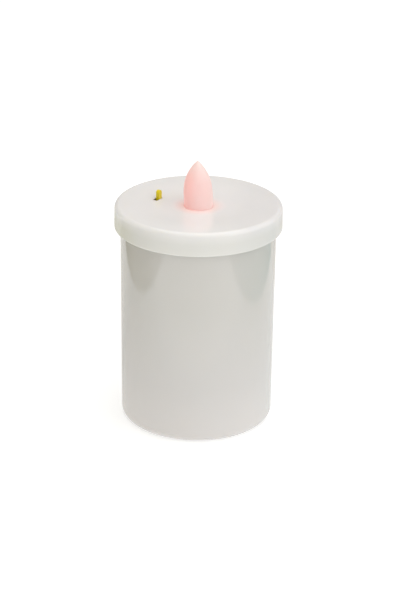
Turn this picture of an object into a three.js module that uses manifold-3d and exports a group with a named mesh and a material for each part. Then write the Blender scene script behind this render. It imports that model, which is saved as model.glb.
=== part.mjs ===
// A flameless LED candle: a milky plastic cup, closed by a lid that carries a hollow plastic flame, a small
// slide switch and, hung below them inside the cup, a circuit board and a cage with two C cells.
// Millimetres, +Z up. The origin is the middle of the cup's base, on the surface that the candle stands on.

import * as THREE from "three";
import { mergeVertices } from "three/addons/utils/BufferGeometryUtils.js";
import Module from "manifold-3d";

// ---- Driving dimensions ----

const GAP = 0.3; // between neighbours that would otherwise touch

// Lid
const LID_TOP = 95.1;
const LID_R = 35;
const SKIRT_HEIGHT = 9.9;
const SKIRT_DRAFT = 0.13;
const LID_EDGE = 3.6; // radius of the rounded upper edge
const DISH_DEPTH = 1; // the middle of the lid lies this far below its rim
const DISH_OUTER_R = 31;
const DISH_INNER_R = 9;
const PANEL_WALL = 2.3;
const PLUG_WALL = 1.4;
const PLUG_DEPTH = 7.8;

// Cup
const CUP_R_TOP = 32.5;
const CUP_R_BASE = 32.05;
const CUP_WALL = 1.5;
const CUP_FLOOR = 1.8;
const CUP_EDGE = 3.3; // radius of the rounded lower edge
const FOOT_INNER_R = 23;
const FOOT_RISE = 0.8; // the base is hollowed by this much inside its foot ring

// Flame
const FLAME_R = 5.75;
const FLAME_HEIGHT = 19.7; // above the lid's middle
const FLAME_WALL = 0.9;
const FLAME_TIP_WALL = 1.5;
const FLAME_LEAN = -0.6; // how far the tip stands off the axis, along X
const FLAME_FLANGE_R = 7.5;
const FLAME_FLANGE = 1;

// Slide switch: a standard miniature type, its knob standing through a slot in the lid
const KNOB_X = -16.65;
const KNOB_Y = 7.4;
const KNOB_WIDTH = 2.4;
const KNOB_DEPTH = 1.6;
const KNOB_RISE = 3.9; // above the lid's middle
const SWITCH_TRAVEL = 2;
const SWITCH_TURN = Math.PI / 3; // from -X towards -Y: the way the knob slides
const SWITCH_LENGTH = 8.6;
const SWITCH_DEPTH = 3.8;
const SWITCH_HEIGHT = 3.3;
const SWITCH_SHEET = 0.3;
const SWITCH_BASE = 0.7;
const SLIDER_LENGTH = 4.4;
const SLIDER_HEIGHT = 2.1;
const PIN_PITCH = 2.5;

// Circuit board
const BOARD_LOW = new THREE.Vector2(-24, -8);
const BOARD_HIGH = new THREE.Vector2(12, 11);
const BOARD_THICKNESS = 1.6;
const BOARD_DROP = 4.6; // from the lid's underside to the board's upper face
const TAIL = 0.8; // how far leads and pins stand out below the board

// Cells: standard C size
const CELL_R = 13.1;
const CELL_LENGTH = 50;
const BUTTON_R = 3.5;
const BUTTON_HEIGHT = 1.5;
const CELL_X = 13.5; // each cell's axis is this far from the middle

// Battery holder and contacts
const HOLDER_WALL = 1.4;
const HOLDER_PLATE = 1.6;
const HOLDER_FRONT = -5; // the cradles are open in front of this Y
const CONTACT_SHEET = 0.4;
const CONTACT_WIDTH = 9;
const TAB_WIDTH = 4;
const TAB_Y = 10.6;
const SPRING_HEIGHT = 4;
const SPRING_WIRE = 0.9;
const SPRING_TURNS = 3;
const SPRING_WIDE_R = 5;
const SPRING_NARROW_R = 3.2;

// LED: standard 5 mm type
const LED_R = 2.5;
const LED_FLANGE_R = 2.9;
const LED_HEIGHT = 8.6;
const LED_STAND_OFF = 2.8;
const LEAD_PITCH = 2.54;
const LEAD_R = 0.25;

// Screws
const BOARD_SCREWS = [new THREE.Vector2(-21, -4.5), new THREE.Vector2(9.2, -5.2)];
const HOLDER_SCREWS = [new THREE.Vector2(-14, -11.6), new THREE.Vector2(22.5, 5)];
const BOARD_BOSS_R = 2.6;
const HOLDER_BOSS_R = 3;
const BOARD_SCREW_R = 1;
const HOLDER_SCREW_R = 1.1;
const SCREW_HEAD = 1.3;

const WIRE_R = 0.6;

// Facets around a full turn
const ROUND_LARGE = 60;
const ROUND_MEDIUM = 40;
const ROUND_SMALL = 12;

// ---- Levels worked out from them ----

const PANEL_TOP = LID_TOP - DISH_DEPTH;
const PANEL_UNDER = PANEL_TOP - PANEL_WALL;
const CUP_RIM = PANEL_UNDER - GAP;
const BOARD_TOP = PANEL_UNDER - BOARD_DROP;
const BOARD_UNDER = BOARD_TOP - BOARD_THICKNESS;
const HOLDER_TOP = BOARD_UNDER - 2;
const ROOF_UNDER = HOLDER_TOP - HOLDER_PLATE;
const CELL_BAY = CELL_LENGTH + SPRING_HEIGHT + 2 * CONTACT_SHEET + 5 * GAP;
const BAY_FLOOR = ROOF_UNDER - CELL_BAY;
const HOLDER_BASE = BAY_FLOOR - HOLDER_PLATE;
const SWITCH_X = KNOB_X - (SWITCH_TRAVEL / 2) * Math.cos(SWITCH_TURN);
const SWITCH_Y = KNOB_Y - (SWITCH_TRAVEL / 2) * Math.sin(SWITCH_TURN);
const SWITCH_TOP = PANEL_UNDER - GAP;
const SHELL_UNDER = SWITCH_TOP - SWITCH_HEIGHT;
const SLIDER_UNDER = SHELL_UNDER + 0.4;
const LED_BASE = BOARD_TOP + LED_STAND_OFF;

// ---- Solids from three.js geometry, cut and joined ----

const wasm = await Module();
wasm.setup();

function toSolid(geometry) {
  const bare = geometry.clone();
  bare.deleteAttribute("normal");
  bare.deleteAttribute("uv");
  const merged = mergeVertices(bare, 1e-4);
  const vertProperties = merged.attributes.position.array;
  const triVerts = new Uint32Array(merged.index.array);
  return new wasm.Manifold(new wasm.Mesh({ numProp: 3, vertProperties, triVerts }));
}

function toGeometry(solid) {
  const mesh = solid.getMesh();
  const geometry = new THREE.BufferGeometry();
  geometry.setAttribute("position", new THREE.BufferAttribute(mesh.vertProperties, 3));
  geometry.setIndex(new THREE.BufferAttribute(mesh.triVerts, 1));
  geometry.computeVertexNormals();
  return geometry;
}

function join(first, ...others) {
  return toGeometry(others.reduce((solid, other) => solid.add(toSolid(other)), toSolid(first)));
}

function cut(first, ...tools) {
  return toGeometry(tools.reduce((solid, tool) => solid.subtract(toSolid(tool)), toSolid(first)));
}

// ---- Basic shapes, all with +Z up ----

// A body of revolution about Z. The profile's points are [radius, height], anticlockwise.
function turned(profile, facets) {
  const points = profile.map(([radius, height]) => new THREE.Vector2(radius, height));
  return new THREE.LatheGeometry(points, facets).rotateX(Math.PI / 2);
}

function post(radius, bottom, top, x, y, facets = ROUND_SMALL) {
  const height = top - bottom;
  const middle = bottom + height / 2;
  const cylinder = new THREE.CylinderGeometry(radius, radius, height, facets);
  return cylinder.rotateX(Math.PI / 2).translate(x, y, middle);
}

// A block from its lowest corner to its highest one.
function block(low, high) {
  const size = high.map((value, i) => value - low[i]);
  const middle = high.map((value, i) => (value + low[i]) / 2);
  return new THREE.BoxGeometry(...size).translate(...middle);
}

// A block centred on x, y.
function slab(x, y, width, depth, bottom, top) {
  return block([x - width / 2, y - depth / 2, bottom], [x + width / 2, y + depth / 2, top]);
}

// A plate with rounded corners, centred on x, y.
function plate(x, y, width, depth, corner, bottom, top) {
  const w = width / 2 - corner;
  const d = depth / 2 - corner;
  const outline = new THREE.Shape();
  outline.absarc(w, -d, corner, -Math.PI / 2, 0);
  outline.absarc(w, d, corner, 0, Math.PI / 2);
  outline.absarc(-w, d, corner, Math.PI / 2, Math.PI);
  outline.absarc(-w, -d, corner, Math.PI, 1.5 * Math.PI);
  const options = { depth: top - bottom, bevelEnabled: false, curveSegments: 5 };
  return new THREE.ExtrudeGeometry(outline, options).translate(x, y, bottom);
}

// A rod of eight sides along a curve.
function rod(radius, curve, steps) {
  const section = new THREE.Shape().absarc(0, 0, radius, 0, 2 * Math.PI);
  const options = { extrudePath: curve, steps, curveSegments: 4 };
  return new THREE.ExtrudeGeometry(section, options);
}

function arc(radius, height, r, from, to, steps) {
  const points = [];
  for (let i = 0; i <= steps; i++) {
    const angle = from + ((to - from) * i) / steps;
    points.push([radius + r * Math.cos(angle), height + r * Math.sin(angle)]);
  }
  return points;
}

// ---- Cup ----

function cup() {
  const corner = CUP_EDGE - CUP_WALL;
  const floorTop = FOOT_RISE + CUP_FLOOR;
  const insideR = CUP_R_BASE - CUP_WALL;
  const profile = [
    [0, FOOT_RISE],
    [FOOT_INNER_R - FOOT_RISE, FOOT_RISE],
    [FOOT_INNER_R, 0],
    ...arc(CUP_R_BASE - CUP_EDGE, CUP_EDGE, CUP_EDGE, -Math.PI / 2, 0, 6),
    [CUP_R_TOP, CUP_RIM],
    [CUP_R_TOP - CUP_WALL, CUP_RIM],
    ...arc(insideR - corner, floorTop + corner, corner, 0, -Math.PI / 2, 4),
    [0, floorTop],
  ];
  return turned(profile, ROUND_LARGE);
}

// ---- Lid ----

// The lid's top falls from its rim to its flat middle along half a cosine wave.
function dish() {
  const steps = 6;
  const points = [];
  for (let i = 0; i <= steps; i++) {
    const radius = DISH_OUTER_R + ((DISH_INNER_R - DISH_OUTER_R) * i) / steps;
    const drop = (DISH_DEPTH * (1 - Math.cos((Math.PI * i) / steps))) / 2;
    points.push([radius, LID_TOP - drop]);
  }
  return points;
}

function lidShell() {
  const holeR = FLAME_R + GAP;
  const plugR = CUP_R_TOP - CUP_WALL - GAP;
  const topR = LID_R - SKIRT_DRAFT;
  const skirtInnerR = CUP_R_TOP + GAP;
  const profile = [
    [holeR, PANEL_UNDER],
    [plugR - PLUG_WALL, PANEL_UNDER],
    [plugR - PLUG_WALL, PANEL_UNDER - PLUG_DEPTH],
    [plugR, PANEL_UNDER - PLUG_DEPTH],
    [plugR, PANEL_UNDER],
    [skirtInnerR, PANEL_UNDER],
    [skirtInnerR, LID_TOP - SKIRT_HEIGHT],
    [LID_R, LID_TOP - SKIRT_HEIGHT],
    ...arc(topR - LID_EDGE, LID_TOP - LID_EDGE, LID_EDGE, 0, Math.PI / 2, 6),
    ...dish(),
    [holeR, PANEL_TOP],
    [holeR, PANEL_UNDER],
  ];
  return turned(profile, ROUND_LARGE);
}

function boss(radius, bore, bottom, { x, y }) {
  const ring = post(radius, bottom, PANEL_UNDER + 0.5, x, y, 24);
  return cut(ring, post(bore, bottom - 1, PANEL_UNDER - 0.6, x, y));
}

function lid() {
  const slot = switchOpening(PANEL_UNDER - 1, LID_TOP);
  const boardBosses = BOARD_SCREWS.map((at) =>
    boss(BOARD_BOSS_R, BOARD_SCREW_R + 0.2, BOARD_TOP + GAP, at),
  );
  const holderBosses = HOLDER_SCREWS.map((at) =>
    boss(HOLDER_BOSS_R, HOLDER_SCREW_R + 0.2, HOLDER_TOP + GAP, at),
  );
  return join(cut(lidShell(), slot), ...boardBosses, ...holderBosses);
}

// ---- Flame ----

// The flame's outer radius, from its foot (share 0) to its tip (share 1): a slight bulge, then an ogive.
function flameRadius(share) {
  const bulge = 1 + 0.035 * Math.sin(Math.PI * Math.min(1, share / 0.8));
  return FLAME_R * bulge * (1 - Math.pow(share, 3.6));
}

// The flame's profile from its foot to its tip, moved inwards by a wall's thickness for the hollow.
function flameSurface(wall, height) {
  const steps = 13;
  const points = [];
  for (let i = 0; i <= steps; i++) {
    const share = Math.sin(((Math.PI / 2) * i) / steps);
    const radius = Math.max(0, flameRadius(share) - wall);
    points.push([radius, PANEL_TOP + share * height]);
    if (radius === 0) break;
  }
  return points;
}

// Moves the flame's upper part sideways, more towards its tip.
function lean(geometry) {
  const position = geometry.attributes.position;
  for (let i = 0; i < position.count; i++) {
    const share = Math.max(0, (position.getZ(i) - PANEL_TOP) / FLAME_HEIGHT);
    position.setX(i, position.getX(i) + FLAME_LEAN * Math.sin((Math.PI / 2) * share));
  }
  return geometry;
}

function flameCap() {
  const flangeTop = PANEL_UNDER - GAP;
  const flangeUnder = flangeTop - FLAME_FLANGE;
  const outside = [
    [0, flangeUnder],
    [FLAME_FLANGE_R, flangeUnder],
    [FLAME_FLANGE_R, flangeTop],
    [FLAME_R, flangeTop],
    ...flameSurface(0, FLAME_HEIGHT),
  ];
  const inside = [
    [0, flangeUnder - 1],
    [FLAME_R - FLAME_WALL, flangeUnder - 1],
    ...flameSurface(FLAME_WALL, FLAME_HEIGHT - FLAME_TIP_WALL),
  ];
  return cut(lean(turned(outside, ROUND_MEDIUM)), lean(turned(inside, ROUND_MEDIUM)));
}

// ---- LED ----

function ledLens() {
  const shoulder = LED_BASE + LED_HEIGHT - LED_R;
  const profile = [
    [0, LED_BASE],
    [LED_FLANGE_R, LED_BASE],
    [LED_FLANGE_R, LED_BASE + 1],
    [LED_R, LED_BASE + 1],
    ...arc(0, shoulder, LED_R, 0, Math.PI / 2, 6),
  ];
  profile[profile.length - 1][0] = 0;
  return turned(profile, 24);
}

function ledLead(side) {
  return post(LEAD_R, BOARD_UNDER - TAIL, LED_BASE - 0.05, (side * LEAD_PITCH) / 2, 0, 8);
}

// ---- Slide switch ----

// Switch parts are drawn about the switch's middle, with the travel along -X, then put in place.
function seated(geometry) {
  return geometry.rotateZ(SWITCH_TURN).translate(SWITCH_X, SWITCH_Y, 0);
}

function switchOpening(bottom, top) {
  const length = KNOB_WIDTH + SWITCH_TRAVEL + 2 * GAP;
  return seated(slab(0, 0, length, KNOB_DEPTH + 2 * GAP, bottom, top));
}

function switchHousing() {
  const shell = slab(0, 0, SWITCH_LENGTH, SWITCH_DEPTH, SHELL_UNDER, SWITCH_TOP);
  const insideLength = SWITCH_LENGTH - 2 * SWITCH_SHEET;
  const insideDepth = SWITCH_DEPTH - 2 * SWITCH_SHEET;
  const inside = slab(0, 0, insideLength, insideDepth, SHELL_UNDER - 1, SWITCH_TOP - SWITCH_SHEET);
  return cut(seated(shell), seated(inside), switchOpening(SWITCH_TOP - 1, SWITCH_TOP + 1));
}

function switchBase() {
  const top = SHELL_UNDER - 0.1;
  return seated(slab(0, 0, SWITCH_LENGTH, SWITCH_DEPTH, top - SWITCH_BASE, top));
}

function switchPin(place) {
  const top = SHELL_UNDER - 0.15 - SWITCH_BASE;
  return seated(slab(place * PIN_PITCH, 0, 0.5, 0.5, BOARD_UNDER - TAIL, top));
}

// The slider inside the housing, with the knob that stands on it: upright, with a rounded top.
function switchKnob() {
  const top = PANEL_TOP + KNOB_RISE;
  const half = KNOB_WIDTH / 2;
  const x = SWITCH_TRAVEL / 2;
  const waist = SLIDER_UNDER + SLIDER_HEIGHT;
  const outline = new THREE.Shape();
  outline.moveTo(x - half, waist - 0.5);
  outline.lineTo(x + half, waist - 0.5);
  outline.absarc(x, top - half, half, 0, Math.PI);
  const options = { depth: KNOB_DEPTH, bevelEnabled: false, curveSegments: 10 };
  const knob = new THREE.ExtrudeGeometry(outline, options);
  knob.translate(0, 0, -KNOB_DEPTH / 2).rotateX(Math.PI / 2);
  const slider = slab(x, 0, SLIDER_LENGTH, SWITCH_DEPTH - 1, SLIDER_UNDER, waist);
  return join(seated(knob), seated(slider));
}

function switchWiper() {
  const length = SLIDER_LENGTH - 0.6;
  return seated(slab(SWITCH_TRAVEL / 2, 0, length, 1, SHELL_UNDER, SLIDER_UNDER - 0.1));
}

// ---- Circuit board and what is soldered to it ----

const RESISTOR = { x: -10.5, y: -4, bodyR: 1.15, bodyLength: 6.3, span: 10 };
const CAPACITOR = { x: 7.5, y: 3.5, width: 4, depth: 2.4, height: 2.6, span: 2.54 };
const CHIP = { x: -9, y: 1.5, radius: 2.8, height: 1.2 };

function boardHoles() {
  const small = [];
  for (const side of [-1, 1]) {
    small.push([(side * LEAD_PITCH) / 2, 0]);
    small.push([RESISTOR.x + (side * RESISTOR.span) / 2, RESISTOR.y]);
    small.push([CAPACITOR.x + (side * CAPACITOR.span) / 2, CAPACITOR.y]);
  }
  for (const place of [-1, 0, 1]) {
    const x = SWITCH_X + place * PIN_PITCH * Math.cos(SWITCH_TURN);
    small.push([x, SWITCH_Y + place * PIN_PITCH * Math.sin(SWITCH_TURN)]);
  }
  const holes = small.map(([x, y]) => [0.65, x, y]);
  for (const { x, y } of BOARD_SCREWS) holes.push([BOARD_SCREW_R + GAP, x, y]);
  return holes.map(([r, x, y]) => post(r, BOARD_UNDER - 1, BOARD_TOP + 1, x, y));
}

function circuitBoard() {
  const size = BOARD_HIGH.clone().sub(BOARD_LOW);
  const middle = BOARD_HIGH.clone().add(BOARD_LOW).divideScalar(2);
  const sheet = plate(middle.x, middle.y, size.x, size.y, 1.5, BOARD_UNDER, BOARD_TOP);
  return cut(sheet, ...boardHoles());
}

// The flicker chip sits under a low dome of black resin.
function flickerChip() {
  const { x, y, radius, height } = CHIP;
  const curve = (radius * radius + height * height) / (2 * height);
  const half = Math.asin(radius / curve);
  const dome = arc(0, height - curve, curve, Math.PI / 2 - half, Math.PI / 2, 5);
  dome[dome.length - 1][0] = 0;
  return turned([[0, 0], ...dome], 24).translate(x, y, BOARD_TOP + 0.05);
}

// Two leads bent down from a level run, one on each side of x.
function bentLeads(x, y, span, height, inner) {
  return [-1, 1].map((side) => {
    const outer = x + (side * span) / 2;
    const path = new THREE.CurvePath();
    const bend = 0.6;
    const points = [
      new THREE.Vector3(x + side * inner, y, height),
      new THREE.Vector3(outer - side * bend, y, height),
      new THREE.Vector3(outer, y, height),
      new THREE.Vector3(outer, y, height - bend),
      new THREE.Vector3(outer, y, BOARD_UNDER - TAIL),
    ];
    path.add(new THREE.LineCurve3(points[0], points[1]));
    path.add(new THREE.QuadraticBezierCurve3(points[1], points[2], points[3]));
    path.add(new THREE.LineCurve3(points[3], points[4]));
    return rod(LEAD_R, path, 14);
  });
}

function resistor() {
  const { x, y, bodyR, bodyLength, span } = RESISTOR;
  const height = BOARD_TOP + 0.2 + bodyR;
  const end = bodyLength / 2;
  const profile = [
    [0, -end],
    [bodyR, -end],
    [bodyR, -end + 1.6],
    [bodyR - 0.2, -end + 2],
    [bodyR - 0.2, end - 2],
    [bodyR, end - 1.6],
    [bodyR, end],
    [0, end],
  ];
  const body = turned(profile, ROUND_SMALL).rotateY(Math.PI / 2).translate(x, y, height);
  return join(body, ...bentLeads(x, y, span, height, end - 0.5));
}

function capacitor() {
  const { x, y, width, depth, height, span } = CAPACITOR;
  const bottom = BOARD_TOP + 0.2;
  const body = plate(x, y, width, depth, 0.6, bottom, bottom + height);
  const leads = [-1, 1].map((side) =>
    post(LEAD_R, BOARD_UNDER - TAIL, bottom + 0.5, x + (side * span) / 2, y, 8),
  );
  return join(body, ...leads);
}

// ---- Screws ----

// A pan-head screw with its head down and its shank up.
function screw(headBottom, shankTop, radius, { x, y }) {
  const headR = 2 * radius;
  const headTop = headBottom + SCREW_HEAD;
  const profile = [
    [0, headBottom],
    [headR - 0.4, headBottom],
    [headR, headBottom + 0.4],
    [headR, headTop],
    [radius, headTop],
    [radius, shankTop - 1],
    [radius / 2, shankTop],
    [0, shankTop],
  ];
  const slot = slab(0, 0, 2 * headR + 1, 0.5, headBottom - 1, headBottom + 0.5);
  return cut(turned(profile, ROUND_SMALL), slot).translate(x, y, 0);
}

function boardScrew(at) {
  return screw(BOARD_UNDER - 0.1 - SCREW_HEAD, PANEL_UNDER - 0.9, BOARD_SCREW_R, at);
}

function holderScrew(at) {
  return screw(ROOF_UNDER - 0.1 - SCREW_HEAD, PANEL_UNDER - 2, HOLDER_SCREW_R, at);
}

// ---- Battery holder, cells and contacts ----

function holderOutline() {
  const outerR = CELL_R + GAP + HOLDER_WALL;
  const outline = new THREE.Shape();
  outline.absarc(CELL_X, 0, outerR, -Math.PI / 2, Math.PI / 2);
  outline.absarc(-CELL_X, 0, outerR, Math.PI / 2, 1.5 * Math.PI);
  const options = { depth: HOLDER_TOP - HOLDER_BASE, bevelEnabled: false, curveSegments: 24 };
  return new THREE.ExtrudeGeometry(outline, options).translate(0, 0, HOLDER_BASE);
}

function batteryHolder() {
  const reach = 2 * CELL_R + 5;
  const bays = [-1, 1].map((side) =>
    post(CELL_R + GAP, BAY_FLOOR, ROOF_UNDER, side * CELL_X, 0, ROUND_MEDIUM),
  );
  const front = block([-reach, -reach, BAY_FLOOR], [reach, HOLDER_FRONT, ROOF_UNDER]);
  const waist = block([-5, HOLDER_FRONT - 1, BAY_FLOOR], [5, 5, ROOF_UNDER]);
  const tabSlots = [-1, 1].map((side) =>
    slab(side * CELL_X, TAB_Y, TAB_WIDTH + 2 * GAP, CONTACT_SHEET + 2 * GAP, ROOF_UNDER - 1, HOLDER_TOP + 1),
  );
  const screwHoles = HOLDER_SCREWS.map(({ x, y }) =>
    post(HOLDER_SCREW_R + GAP, ROOF_UNDER - 1, HOLDER_TOP + 1, x, y),
  );
  return cut(holderOutline(), ...bays, front, waist, ...tabSlots, ...screwHoles);
}

// A cell standing on its flat end, its base at height 0.
function cell() {
  const shoulder = CELL_LENGTH - BUTTON_HEIGHT;
  const profile = [
    [0, 0],
    [CELL_R - 0.8, 0],
    [CELL_R, 0.8],
    [CELL_R, shoulder - 0.8],
    [CELL_R - 0.8, shoulder],
    [BUTTON_R, shoulder],
    [BUTTON_R, CELL_LENGTH - 0.3],
    [BUTTON_R - 0.3, CELL_LENGTH],
    [0, CELL_LENGTH],
  ];
  return turned(profile, ROUND_MEDIUM);
}

function cellA() {
  return cell().translate(-CELL_X, 0, BAY_FLOOR + CONTACT_SHEET + SPRING_HEIGHT + 3 * GAP);
}

function cellB() {
  const base = BAY_FLOOR + CONTACT_SHEET + 2 * GAP + CELL_LENGTH;
  return cell().rotateX(Math.PI).translate(CELL_X, 0, base);
}

class ConeCoil extends THREE.Curve {
  getPoint(t, target = new THREE.Vector3()) {
    const angle = 2 * Math.PI * SPRING_TURNS * t;
    const radius = SPRING_WIDE_R + (SPRING_NARROW_R - SPRING_WIDE_R) * t;
    const height = SPRING_WIRE / 2 + 0.03 + (SPRING_HEIGHT - SPRING_WIRE - 0.06) * t;
    return target.set(radius * Math.cos(angle), radius * Math.sin(angle), height);
  }
}

// A conical spring with its wide end at height 0.
function coneSpring() {
  return rod(SPRING_WIRE / 2, new ConeCoil(), 54);
}

function bridgeSpring() {
  return coneSpring().translate(-CELL_X, 0, BAY_FLOOR + CONTACT_SHEET + 2 * GAP);
}

function negativeSpring() {
  return coneSpring().rotateX(Math.PI).translate(CELL_X, 0, ROOF_UNDER - CONTACT_SHEET - 2 * GAP);
}

function bridgePlate() {
  const bottom = BAY_FLOOR + GAP;
  const length = 2 * CELL_X + CONTACT_WIDTH;
  return plate(0, 0, length, CONTACT_WIDTH, 2, bottom, bottom + CONTACT_SHEET);
}

// An upper contact: a plate under the roof, with a tab bent up through it.
function upperContact(side) {
  const top = ROOF_UNDER - GAP;
  const bottom = top - CONTACT_SHEET;
  const x = side * CELL_X;
  const end = TAB_Y + CONTACT_SHEET / 2;
  const pad = plate(x, 0, CONTACT_WIDTH, CONTACT_WIDTH, 2, bottom, top);
  const neck = block([x - TAB_WIDTH / 2, 0, bottom], [x + TAB_WIDTH / 2, end, top]);
  const tab = slab(x, TAB_Y, TAB_WIDTH, CONTACT_SHEET, bottom, BOARD_UNDER - GAP);
  return join(pad, neck, tab);
}

// ---- Wires: from a contact's tab, round the back edge of the board, to a pad on top of it ----

function wire(side, padX) {
  const start = side * CELL_X;
  const back = BOARD_HIGH.y + 1.9;
  const route = [
    new THREE.Vector3(start - side * 0.5, TAB_Y + 1.0, HOLDER_TOP + 0.9),
    new THREE.Vector3(start - side * 1.6, back - 0.5, HOLDER_TOP + 1.7),
    new THREE.Vector3((start + padX) / 2, back, BOARD_UNDER + 1.4),
    new THREE.Vector3(padX + side * 0.5, back - 1.2, BOARD_TOP + 1.5),
    new THREE.Vector3(padX, back - 3.4, BOARD_TOP + 1.5),
    new THREE.Vector3(padX, back - 4.7, BOARD_TOP + 0.45),
  ];
  return rod(WIRE_R, new THREE.CatmullRomCurve3(route), 26);
}

// ---- Materials ----

function finish(color, roughness, metalness = 0) {
  return new THREE.MeshStandardMaterial({ color, roughness, metalness });
}

const cupPlastic = finish(0xd2cfc8, 0.25);
const lidPlastic = finish(0xe6e2de, 0.35);
const flamePlastic = finish(0xf5b9b2, 0.3);
const yellowPlastic = finish(0xdcc41a, 0.4);
const ledEpoxy = finish(0xf3e3c8, 0.1);
const tinned = finish(0xc9cbcd, 0.3, 1);
const nickel = finish(0xcfcac0, 0.3, 1);
const steel = finish(0xb8babd, 0.35, 1);
const boardGreen = finish(0x2f6b3c, 0.5);
const blackResin = finish(0x151515, 0.35);
const brownPhenolic = finish(0x5a3a22, 0.7);
const resistorBlue = finish(0x7fb4c9, 0.45);
const capacitorAmber = finish(0xc98a2b, 0.4);
const holderBlack = finish(0x26272a, 0.55);
const cellWrap = finish(0x3d4650, 0.3);
const redVinyl = finish(0xb3261e, 0.5);
const blackVinyl = finish(0x1b1b1c, 0.5);

// ---- The assembly: each entry is a name, its solid and its material ----

const pieces = [
  ["cup", cup(), cupPlastic],
  ["lid", lid(), lidPlastic],
  ["flame_cap", flameCap(), flamePlastic],
  ["led_lens", ledLens(), ledEpoxy],
  ["led_lead_anode", ledLead(1), tinned],
  ["led_lead_cathode", ledLead(-1), tinned],
  ["circuit_board", circuitBoard(), boardGreen],
  ["flicker_chip", flickerChip(), blackResin],
  ["resistor", resistor(), resistorBlue],
  ["capacitor", capacitor(), capacitorAmber],
  ["switch_housing", switchHousing(), steel],
  ["switch_base", switchBase(), brownPhenolic],
  ["switch_pin_1", switchPin(-1), tinned],
  ["switch_pin_2", switchPin(0), tinned],
  ["switch_pin_3", switchPin(1), tinned],
  ["switch_knob", switchKnob(), yellowPlastic],
  ["switch_wiper", switchWiper(), nickel],
  ["board_screw_left", boardScrew(BOARD_SCREWS[0]), steel],
  ["board_screw_right", boardScrew(BOARD_SCREWS[1]), steel],
  ["battery_holder", batteryHolder(), holderBlack],
  ["holder_screw_left", holderScrew(HOLDER_SCREWS[0]), steel],
  ["holder_screw_right", holderScrew(HOLDER_SCREWS[1]), steel],
  ["cell_a", cellA(), cellWrap],
  ["cell_b", cellB(), cellWrap],
  ["bridge_plate", bridgePlate(), nickel],
  ["bridge_spring", bridgeSpring(), nickel],
  ["positive_contact", upperContact(-1), nickel],
  ["negative_contact", upperContact(1), nickel],
  ["negative_spring", negativeSpring(), nickel],
  ["wire_red", wire(-1, -9.5), redVinyl],
  ["wire_black", wire(1, 8.5), blackVinyl],
];

const candle = new THREE.Group();
for (const [name, geometry, material] of pieces) {
  const mesh = new THREE.Mesh(geometry, material);
  mesh.name = name;
  candle.add(mesh);
}

export default candle;
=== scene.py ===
"""Looks for a flameless LED candle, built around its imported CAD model: a milky plastic cup, a lid with
a hollow pink flame and a yellow slide switch, and the works that hang from the lid inside the cup.
Metres, +Z up; the origin is the middle of the cup's base."""

from math import asin, atan2, cos, degrees, hypot, pi, radians, sin, tan

import bmesh
import bpy
from mathutils import Matrix, Vector


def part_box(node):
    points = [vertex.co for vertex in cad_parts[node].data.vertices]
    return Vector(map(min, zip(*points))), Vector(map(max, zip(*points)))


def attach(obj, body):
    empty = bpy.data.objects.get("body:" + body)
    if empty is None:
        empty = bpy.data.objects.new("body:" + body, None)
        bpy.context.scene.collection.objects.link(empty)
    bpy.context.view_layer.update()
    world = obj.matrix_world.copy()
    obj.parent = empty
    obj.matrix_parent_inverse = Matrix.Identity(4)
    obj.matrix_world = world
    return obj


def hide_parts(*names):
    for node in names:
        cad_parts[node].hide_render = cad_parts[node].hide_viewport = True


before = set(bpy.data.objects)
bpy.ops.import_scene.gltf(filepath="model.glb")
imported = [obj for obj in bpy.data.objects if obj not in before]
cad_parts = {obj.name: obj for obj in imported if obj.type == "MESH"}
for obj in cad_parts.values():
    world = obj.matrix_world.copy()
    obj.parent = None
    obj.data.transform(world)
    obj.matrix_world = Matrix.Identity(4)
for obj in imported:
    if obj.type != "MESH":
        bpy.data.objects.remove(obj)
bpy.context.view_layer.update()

MM = 0.001
GAP = 0.3 * MM
ROUND = 200  # facets around a large turned piece
ROUND_SMALL = 64
SHARP = radians(38)  # edges bent further than this stay sharp
SIDES = ("left", "right")

# ---- Places and sizes, from the frame ----


def middle(node):
    """The middle of a node's box, seen from above."""
    low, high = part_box(node)
    return (low.x + high.x) / 2, (low.y + high.y) / 2


CUP_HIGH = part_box("cup")[1]
LID_LOW, LID_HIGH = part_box("lid")
FLAME_LOW, FLAME_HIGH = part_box("flame_cap")
KNOB_LOW, KNOB_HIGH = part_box("switch_knob")
SWITCH_LOW, SWITCH_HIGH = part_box("switch_housing")
BOARD_LOW, BOARD_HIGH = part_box("circuit_board")
HOLDER_LOW, HOLDER_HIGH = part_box("battery_holder")

CUP_DRAFT = 0.45 * MM
CUP_WALL = 1.5 * MM
CUP_EDGE = 3.3 * MM
CUP_FLOOR = 2.6 * MM
FOOT_R = 23 * MM
FOOT_RISE = 0.8 * MM

LID_DRAFT = 0.13 * MM
LID_EDGE = 3.6 * MM
SKIRT_HEIGHT = 9.9 * MM
SKIRT_WALL = 2.2 * MM
DISH_DEPTH = 1 * MM
DISH_OUTER_R = 31 * MM
DISH_INNER_R = 9 * MM
PANEL_WALL = 2.3 * MM
PLUG_R = 30.7 * MM
PLUG_WALL = 1.4 * MM
PANEL_TOP = LID_HIGH.z - DISH_DEPTH
PANEL_UNDER = PANEL_TOP - PANEL_WALL

HOLE_R = 5.95 * MM
FLAME_R = 5.9 * MM
FLAME_WALL = 0.9 * MM
FLAME_TIP_WALL = 1.5 * MM
FLAME_LEAN = -0.6 * MM
FLAME_HEIGHT = FLAME_HIGH.z - PANEL_TOP

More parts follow.
